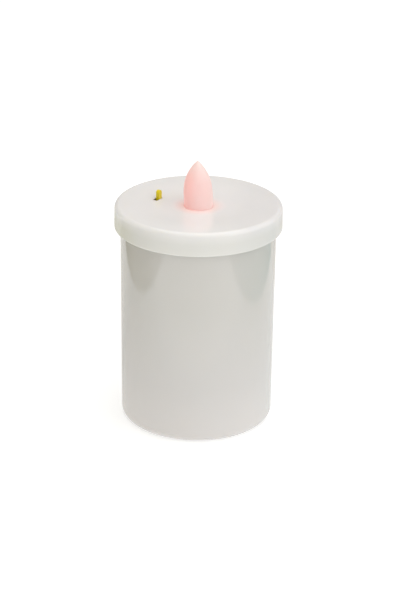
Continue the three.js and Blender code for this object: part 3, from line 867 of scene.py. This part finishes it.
def led():
    """A 5 mm LED with the flat on its flange, and its two legs."""
    low, high = [corner.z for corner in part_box("led_lens")]
    flange_r, lens_r = 2.9 * MM, 2.5 * MM
    foot = [
        (0, low),
        (flange_r, low, 0.12 * MM),
        (flange_r, low + MM, 0.12 * MM),
        (lens_r, low + MM, 0.1 * MM),
        (lens_r, high - lens_r),
    ]
    path = rounded(foot) + arc((0, high - lens_r), lens_r, 0, 90, 16)[1:]
    lens = lathe("led_dome", path, EPOXY, segments=ROUND_SMALL)
    edge = rectangle(flange_r + 0.6 * MM, 0, 2 * MM, 8 * MM, 0.1 * MM)
    flat = slab("flat", edge, low - MM, low + 1.05 * MM, 0)
    piece(moved(carved(lens, flat), *middle("led_lens")), "led_lens")
    for node, name in (("led_lead_anode", "anode_leg"), ("led_lead_cathode", "cathode_leg")):
        piece(square_lead(name, node, *middle(node), 0.1 * MM), node)


# ---- Circuit board and what is soldered to it ----


def solder_joint(x, y):
    """A small cone of solder under the board."""
    under = BOARD_LOW.z
    path = [(0, under - 0.75 * MM), (0.3 * MM, under - 0.7 * MM), (0.42 * MM, under - 0.35 * MM)]
    path += [(0.85 * MM, under - 0.06 * MM), (0.95 * MM, under + 0.02 * MM), (0, under + 0.02 * MM)]
    return moved(lathe("joint", path, SOLDER, segments=20), x, y)


def trace(route, width=0.7):
    """A copper trace along points in millimetres, just proud of the board's underside."""
    low, high = BOARD_LOW.z - 0.07 * MM, BOARD_LOW.z + 0.02 * MM
    parts = []
    for a, b in zip(route, route[1:]):
        a, b = Vector(a) * MM, Vector(b) * MM
        span = b - a
        run = rectangle(0, 0, span.length + width * MM, width * MM, width / 2 * MM - 0.01 * MM)
        part = slab("run", run, low, high, 0.02 * MM, TRACE)
        centre = (a + b) / 2
        parts.append(moved(part, centre.x, centre.y, 0, atan2(span.y, span.x)))
    return parts


def circuit_board():
    """The sheet with its two screw holes, and the traces and solder under it."""
    size = BOARD_HIGH - BOARD_LOW
    outline = rectangle(*middle("circuit_board"), size.x, size.y, 1.5 * MM)
    sheet = plate("board_sheet", "circuit_board", outline, 0.12 * MM, LAMINATE)
    low, high = BOARD_LOW.z - MM, BOARD_HIGH.z + MM
    for side in SIDES:
        sheet = carved(sheet, slab("hole", disc(*middle(f"board_screw_{side}"), 1.3 * MM), low, high, 0))

    through = ["led_lead_anode", "led_lead_cathode", "switch_pin_1", "switch_pin_2", "switch_pin_3"]
    leads = [middle(node) for node in through]
    for node, reach in (("resistor", RESISTOR_REACH), ("capacitor", CAPACITOR_REACH)):
        x, y = middle(node)
        leads += [(x - reach, y), (x + reach, y)]
    parts = [solder_joint(x, y) for x, y in leads]

    leads = [Vector(place) / MM for place in leads]
    anode, cathode, pin_1, pin_2, _, resistor_a, resistor_b, capacitor_a, capacitor_b = leads
    pad_y = PAD_Y / MM
    parts += trace([pin_1, (pin_1.x, resistor_a.y + 1.5), resistor_a])
    parts += trace([resistor_b, (-1.5, -4), (-1.5, -1.2), cathode])
    parts += trace([anode, (1.27, 2.2), (2.6, capacitor_a.y), capacitor_a])
    parts += trace([capacitor_b, (10.2, 4.5), (10.2, pad_y), (BLACK_PAD_X / MM, pad_y)], 1.0)
    parts += trace([pin_2, (-13, pin_2.y), (-11.4, pad_y), (RED_PAD_X / MM, pad_y)], 1.0)
    piece(joined("board_sheet", sheet, *parts), "circuit_board")


def flicker_chip():
    """A drop of black resin over the chip."""
    low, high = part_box("flicker_chip")
    r, height, steps = (high.x - low.x) / 2, high.z - low.z, 14
    path = [(0, low.z)]
    for i in range(steps + 1):
        a = pi / 2 * i / steps
        path.append((r * cos(a) ** 0.8, low.z + height * sin(a)))
    blob = moved(lathe("chip_blob", path, RESIN, segments=ROUND_SMALL), *middle("flicker_chip"))
    piece(blob, "flicker_chip")


def resistor():
    """A dumbbell-shaped body on a lead that is bent down into the board."""
    low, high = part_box("resistor")
    x, y = middle("resistor")
    r, half = (high.y - low.y) / 2, 3.15 * MM
    z = high.z - r
    body = [
        (0, -half),
        (0.6 * r, -half, 0.3 * MM),
        (r, -half + 0.4 * MM, 0.4 * MM),
        (r, -half + 1.2 * MM, 0.5 * MM),
        (0.84 * r, -half + 1.7 * MM, 0.5 * MM),
    ]
    body += [(a, -b, *c) for a, b, *c in reversed(body)]
    barrel = lathe("barrel", rounded(body), resistor_paint(x), segments=40)
    moved(moved(barrel, turn=pi / 2, axis="Y"), x, y, z)
    end = RESISTOR_REACH
    bend = rounded([(-end, low.z), (-end, z, 0.8 * MM), (end, z, 0.8 * MM), (end, low.z)])
    lead = tube("lead", [(x + p.x, y, p.y) for p in bend], WIRE_R, TINNED)
    piece(joined("resistor_body", barrel, lead), "resistor")


def capacitor():
    """A small ceramic capacitor dipped in resin, on two straight legs."""
    low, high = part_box("capacitor")
    x, y = middle("capacitor")
    case_low = high.z - 2.6 * MM
    outline = rectangle(x, y, high.x - low.x, high.y - low.y, 1.0 * MM)
    case = slab("case", outline, case_low, high.z, 0.7 * MM, CAPACITOR_RESIN, steps=6)
    ends = low.z, case_low + 0.8 * MM
    places = (x - CAPACITOR_REACH, x + CAPACITOR_REACH)
    legs = [tube("leg", [(leg_x, y, z) for z in ends], WIRE_R, TINNED) for leg_x in places]
    piece(joined("capacitor_case", case, *legs), "capacitor")


# ---- Screws, with their heads down ----


def screw(node, head_r, head_height, shank_r):
    """A cross-head screw with its thread as a stack of rings."""
    low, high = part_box(node)
    pitch = 0.8 * MM
    head = [
        (0, low.z),
        (0.55 * head_r, low.z + 0.02 * MM),
        (head_r, low.z + 0.5 * head_height, 0.5 * MM),
        (head_r, low.z + head_height, 0.1 * MM),
        (shank_r, low.z + head_height),
    ]
    path = rounded(head)
    root_r = 0.78 * shank_r
    z = low.z + head_height + pitch
    while z < high.z - 1.5 * pitch:
        path += [(root_r, z), (shank_r, z + 0.45 * pitch), (root_r, z + 0.9 * pitch)]
        z += pitch
    path += [(0.6 * shank_r, high.z - 0.4 * pitch), (0, high.z)]
    body = lathe(node + "_body", path, STEEL, segments=40)
    depth = low.z + 0.75 * head_height
    outline = rectangle(0, 0, 1.25 * head_r, 0.24 * head_r, 0.05 * MM)
    for turn in (45, 135):
        recess = slab("recess", outline, low.z - MM, depth, 0.1 * MM)
        body = carved(body, moved(recess, turn=radians(turn)))
    piece(moved(body, *middle(node)), node)


# ---- Battery holder ----


def stadium(inset, steps=40):
    """Two half circles about the cells' axes, joined by straight sides, as an outline for slab()."""
    r = HOLDER_R - inset
    return arc((CELL_X, 0), r, -90, 90, steps) + arc((-CELL_X, 0), r, 90, 270, steps)


def cradle_outline():
    """Two bays side by side, open at the front, with their wall running on behind them."""
    right, left = (CELL_X, 0), (-CELL_X, 0)
    lip_out = degrees(asin(HOLDER_OPEN_Y / HOLDER_R))
    lip_in = degrees(asin(HOLDER_OPEN_Y / BAY_R))
    web = degrees(asin(WAIST_Y / BAY_R))
    arcs = [
        arc(right, HOLDER_R, lip_out, 90, 30),
        arc(left, HOLDER_R, 90, 180 - lip_out, 30),
        arc(left, BAY_R, 180 - lip_in, web, 42),
        arc(right, BAY_R, 180 - web, lip_in, 42),
    ]
    corners = []
    for points in arcs:
        for p in points:
            is_lip = p in (points[0], points[-1]) and abs(p.y) < 0.9 * HOLDER_R
            corners.append((*p, 0.35 * MM) if is_lip else tuple(p))
    return rounded(corners, closed=True, steps=4)[:-1]


def mark(x, z, size, plus):
    """A raised + or - on the flat of the holder's back."""
    raised, sunk = 0.35 * MM, 0.3 * MM
    arms = [(size, size / 4)] + ([(size / 4, size)] if plus else [])
    bars = []
    for width, height in arms:
        outline = rectangle(0, 0, width, height, 0.15 * MM)
        bar = slab("bar", outline, 0, raised + sunk, 0.12 * MM, HOLDER_PLASTIC)
        bars.append(moved(moved(bar, turn=-pi / 2, axis="X"), x, HOLDER_R - sunk, z))
    return fused(*bars)


def battery_holder():
    """An open cage with slots for the upper contacts, screw holes and marks on its back."""
    low, high = HOLDER_LOW.z, HOLDER_HIGH.z
    floor = slab("floor_plate", stadium, low, low + HOLDER_PLATE, 0.4 * MM, HOLDER_PLASTIC)
    roof = slab("roof_plate", stadium, high - HOLDER_PLATE, high, 0.4 * MM, HOLDER_PLASTIC)
    levels = (low + 0.6 * HOLDER_PLATE, high - 0.6 * HOLDER_PLATE)
    section = cradle_outline()
    wall = loft("holder_cage", [[(p.x, p.y, z) for p in section] for z in levels], HOLDER_PLASTIC)
    cage = fused(wall, floor, roof)

    cuts = [rectangle(x, 10.6 * MM, 4.6 * MM, 1.0 * MM, 0.2 * MM) for x in (-CELL_X, CELL_X)]
    cuts += [disc(*middle(f"holder_screw_{side}"), 1.4 * MM) for side in SIDES]
    cage = carved(cage, *[slab("cut", cut, high - 3 * MM, high + MM, 0.05 * MM) for cut in cuts])

    mark_x, mark_z, mark_size = CELL_X - 3 * MM, high - 12 * MM, 5 * MM
    marks = [mark(-mark_x, mark_z, mark_size, True), mark(mark_x, mark_z, mark_size, False)]
    piece(fused(cage, *marks), "battery_holder")


# ---- Cells ----


def wrapped(radius, angle, low, high, width, steps=8):
    """A thin printed patch on a cell's sleeve, centred on an angle, between two heights."""
    inner, outer, half = radius - 0.03 * MM, radius + 0.03 * MM, width / radius / 2
    section = [(inner, low), (outer, low), (outer, high), (inner, high)]
    rings = []
    for i in range(steps + 1):
        a = angle - half + 2 * half * i / steps
        rings.append([(r * cos(a), r * sin(a), z) for r, z in section])
    return loft("patch", rings, MARKING)


def cell(node, name, x, upside_down):
    """A C cell: steel ends, an insulating washer round the button, and a printed sleeve."""
    low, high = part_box(node)
    length = high.z - low.z
    button_r, shoulder = 3.5 * MM, length - 1.5 * MM
    sleeve_r = CELL_R - 0.05 * MM
    profile = [
        (0, 0.35 * MM),
        (9.2 * MM, 0.35 * MM, 0.2 * MM),
        (9.6 * MM, 0, 0.2 * MM),
        (11.4 * MM, 0, 0.5 * MM),
        (11.8 * MM, 0.5 * MM, 0.2 * MM),
        (12.0 * MM, 0.25 * MM, 0.15 * MM),
        (sleeve_r, 0.25 * MM, 0.7 * MM),
        (sleeve_r, shoulder, 1.0 * MM),
        (11.9 * MM, shoulder, 0.1 * MM),
        (11.8 * MM, shoulder - 0.35 * MM, 0.1 * MM),
        (7.2 * MM, shoulder - 0.35 * MM, 0.1 * MM),
        (7.0 * MM, shoulder - 0.1 * MM, 0.1 * MM),
        (button_r, shoulder - 0.05 * MM, 0.3 * MM),
        (button_r - 0.2 * MM, length, 0.4 * MM),
        (0, length),
    ]
    ends = (high.z, low.z) if upside_down else (low.z, high.z)
    sleeve = cell_sleeve(name + "_sleeve", *ends)
    can = lathe(name, rounded(profile, steps=5), sleeve, STEEL, WASHER, segments=144)

    def finish_at(point):
        r = hypot(point.x, point.y)
        if r > 11.85 * MM:
            return 0
        return 2 if r > 7.1 * MM and point.z > length / 2 else 1

    painted(can, finish_at)
    parts = [can]
    long, short = 6 * MM, 1.3 * MM
    plus_z, minus_z = 0.79 * length, 0.12 * length
    bars = [(plus_z, long, short, 0), (plus_z, short, long, 0.01 * MM), (minus_z, long, short, 0)]
    for turn in (-90, 30, 150):
        for z, width, height, proud in bars:
            parts.append(wrapped(sleeve_r + proud, radians(turn), z - height / 2, z + height / 2, width))
    whole = moved(joined(name, *parts), x, 0, ends[0], pi if upside_down else 0, "Y")
    piece(whole, node)


# ---- Contacts and springs ----


def spring(node, name, x, wide_end_up):
    """A conical spring of four turns, flat at both ends."""
    low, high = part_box(node)
    wire_r, wide_r, narrow_r = 0.45 * MM, 5.0 * MM, 3.2 * MM
    bottom, top = low.z + wire_r, high.z - wire_r
    turns, flat_turns, steps = 4.0, 0.7, 200
    route = []
    for i in range(steps + 1):
        turned = turns * i / steps
        rise = min(1, max(0, (turned - flat_turns) / (turns - 2 * flat_turns)))
        share = 1 - rise if wide_end_up else rise
        r = wide_r + (narrow_r - wide_r) * share
        angle = 2 * pi * turned
        z = bottom + (top - bottom) * rise
        route.append((x + r * cos(angle), r * sin(angle), z))
    piece(tube(name, route, wire_r, NICKEL), node)


def upper_contact(node, name, side):
    """A pad with a strip that bends up into a tab through the holder's roof."""
    low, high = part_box(node)
    sheet = 0.4 * MM
    x = side * CELL_X
    pad = slab(name, rectangle(x, 0, 9 * MM, 9 * MM, 2 * MM), low.z, low.z + sheet, 0.08 * MM, NICKEL)
    end, under, over = high.y, low.z + 0.01 * MM, low.z + sheet - 0.01 * MM
    bend = [
        (0, under),
        (end, under, 0.6 * MM),
        (end, high.z, 0.15 * MM),
        (end - sheet, high.z, 0.15 * MM),
        (end - sheet, over, 0.25 * MM),
        (0, over),
    ]
    section = rounded(bend, closed=True)[:-1]
    levels = (x - 2 * MM, x + 2 * MM)
    strip = loft("strip", [[(level, p.x, p.y) for p in section] for level in levels], NICKEL)
    piece(fused(pad, strip), node)


def contacts():
    node = "bridge_plate"
    low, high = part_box(node)
    outline = rectangle(*middle(node), high.x - low.x, high.y - low.y, 1.5 * MM)
    piece(plate("bridge_strip", node, outline, 0.1 * MM, NICKEL), node)
    spring("bridge_spring", "bridge_coil", -CELL_X, False)
    spring("negative_spring", "negative_coil", CELL_X, True)
    upper_contact("positive_contact", "positive_tab", -1)
    upper_contact("negative_contact", "negative_tab", 1)


# ---- Wires: from a contact's tab, round the back of the board, to a pad on top of it ----


def wire(node, name, side, pad_x, vinyl):
    """A vinyl-covered wire with bare ends, and the drop of solder on its pad."""
    start, back, top = side * CELL_X, BOARD_HIGH.y + 1.9 * MM, BOARD_HIGH.z
    route = [
        (start - side * 0.5 * MM, 11.6 * MM, HOLDER_HIGH.z + 0.9 * MM),
        (start - side * 1.6 * MM, back - 0.5 * MM, HOLDER_HIGH.z + 1.7 * MM),
        ((start + pad_x) / 2, back, BOARD_LOW.z + 1.4 * MM),
        (pad_x + side * 0.5 * MM, back - 1.2 * MM, top + 1.5 * MM),
        (pad_x, back - 3.4 * MM, top + 1.5 * MM),
        (pad_x, PAD_Y, top + 0.45 * MM),
    ]
    curve = smooth_route(route)
    cover = tube("cover", curve[2:-4], 0.6 * MM, vinyl)
    core = tube("core", curve, WIRE_R, TINNED)
    blob = lathe("blob", [(0, 0), *arc((0, 0), MM, 0, 90, 10)], SOLDER, segments=24)
    for v in blob.data.vertices:
        v.co.z *= 0.7
    moved(blob, pad_x, PAD_Y, top)
    piece(joined(name, cover, core, blob), node)


# ---- Camera, light and floor ----


def camera():
    """In front and 24 degrees above, aimed at half the lid's height and rolled a little."""
    elevation, distance, roll = radians(23.82), 858 * MM, radians(0.69)
    data = bpy.data.cameras.new("camera")
    data.lens = 121.35
    data.shift_x = 0.0051
    data.shift_y = 0.0128
    back = Vector((0, -cos(elevation), sin(elevation)))
    obj = placed("camera", data)
    obj.location = Vector((0, 0, LID_HIGH.z / 2)) + back * distance
    facing = (-back).to_track_quat("-Z", "Y").to_matrix().to_4x4()
    obj.rotation_euler = (facing @ Matrix.Rotation(roll, 4, "Z")).to_euler()
    bpy.context.scene.camera = obj


def sheet_of(name, width, depth, material, place, turn=(0, 0, 0)):
    """A flat stage sheet, facing along its own +Z."""
    mesh = bmesh.new()
    corners = [(-1, -1), (1, -1), (1, 1), (-1, 1)]
    mesh.faces.new([mesh.verts.new((x * width / 2, y * depth / 2, 0)) for x, y in corners])
    obj = made(name, mesh, material)
    obj.location = place
    obj.rotation_euler = [radians(a) for a in turn]
    return obj


def paper():
    finish = Finish("paper", 0.9)
    finish.mottle((0.62, 0.62, 0.62), 0.01, 8)
    finish.set("Specular IOR Level", 0.0)
    finish.set("Emission Color", (1, 1, 1, 1))
    finish.set("Emission Strength", 0.5)
    return finish.material


def shade(name, colours, start=0, end=1):
    """A card's glow: one colour, or several spread evenly along its own Y from start to end."""
    finish = Finish(name, 1.0)
    finish.set("Base Color", (0, 0, 0, 1))
    finish.set("Specular IOR Level", 0.0)
    finish.set("Emission Color", (*colours[0], 1))
    finish.set("Emission Strength", 1.0)
    if len(colours) > 1:
        stops = [(i / (len(colours) - 1), colour) for i, colour in enumerate(colours)]
        finish.glow(finish.ramp(finish.along("Y", start, end), stops), 1.0)
    return finish.material


def card(name, width, depth, look, place, turn=(0, 0, 0)):
    """A sheet that only reflections show."""
    obj = sheet_of(name, width, depth, look, place, turn)
    obj.visible_camera = False
    obj.visible_diffuse = False
    obj.visible_shadow = False


def stage():
    """The floor, and cards for the dim surroundings to its left, to its right and behind."""
    sheet_of("floor", 8, 8, paper(), (0, 0, 0))
    low_z, side_width, side_depth, near_depth, near_y = 0.5 * MM, 1.2, 3, 1.6, 0.7
    white = (1.05, 1.05, 1.05)
    left_near = [white, (0.89, 0.88, 0.86), (0.72, 0.70, 0.67), (0.635, 0.62, 0.59), (0.73, 0.71, 0.67)]
    right_near = [white, (0.78, 0.795, 0.77), (0.80, 0.80, 0.78)]
    sides = [  # the third value is where the bright part of the floor ends
        ("left", -1, 0.168, (0.23, 0.20, 0.11), left_near),
        ("right", 1, 0.157, (0.35, 0.47, 0.44), right_near),
    ]
    for side, way, edge, far, near in sides:
        look = shade(f"dim_{side}", [white, far], -0.24, -0.06)
        card(f"side_{side}", side_width, side_depth, look, (way * (edge + side_width / 2), 0, low_z))
        look = shade(f"near_{side}", near, -0.8, -0.6)
        card(f"behind_{side}", edge, near_depth, look, (way * edge / 2, near_y, low_z))

    wide_depth, wide_y = 1.5, 0.13
    look = shade("wide_behind", [(0.75, 0.735, 0.69)])
    card("wide_behind", 2.4, wide_depth, look, (0, wide_y + wide_depth / 2, 2 * low_z))
    card("back", 3.0, 1.0, shade("dim_back", [(0.34, 0.30, 0.29)]), (0, 0.8, 0.52), (90, 0, 0))


def area_light(name, place, size, power, colour=(1, 1, 1)):
    data = bpy.data.lights.new(name, "AREA")
    data.shape = "RECTANGLE"
    data.size, data.size_y = size
    data.energy = power
    data.color = colour
    obj = placed(name, data)
    obj.location = place
    obj.rotation_euler = Vector(place).to_track_quat("Z", "Y").to_euler()


def light():
    """Even light from all round, a little dimmer and warmer on the left, and soft boxes above."""
    world = bpy.data.worlds.new("studio")
    world.use_nodes = True
    nodes = Nodes(world.node_tree, "Generated")
    left, right = (0.50, 0.49, 0.415), (0.80, 0.80, 0.79)
    colour = nodes.ramp(nodes.along("X", -1, 1), [(0.0, left), (1.0, right)])
    nodes.join(colour, nodes.tree.nodes["Background"].inputs["Color"])
    bpy.context.scene.world = world
    area_light("top_light", (0, 0.1, 1.2), (1.0, 1.0), 5.3, (1.0, 0.965, 1.0))
    area_light("front_light", (0.1, -0.7, 0.9), (0.8, 0.6), 1.35)
    area_light("right_light", (0.9, -0.5, 0.8), (0.8, 0.8), 2)
    bpy.context.scene.view_settings.view_transform = "Standard"


camera()
stage()
light()
cup()
lid()
flame()
knob()
switch()
led()
circuit_board()
flicker_chip()
resistor()
capacitor()
for side in SIDES:
    screw(f"board_screw_{side}", 2.0 * MM, 1.3 * MM, 1.0 * MM)
    screw(f"holder_screw_{side}", 2.2 * MM, 1.3 * MM, 1.1 * MM)
battery_holder()
cell("cell_a", "left_cell", -CELL_X, False)
cell("cell_b", "right_cell", CELL_X, True)
contacts()
wire("wire_red", "red_lead", -1, RED_PAD_X, RED_VINYL)
wire("wire_black", "black_lead", 1, BLACK_PAD_X, BLACK_VINYL)
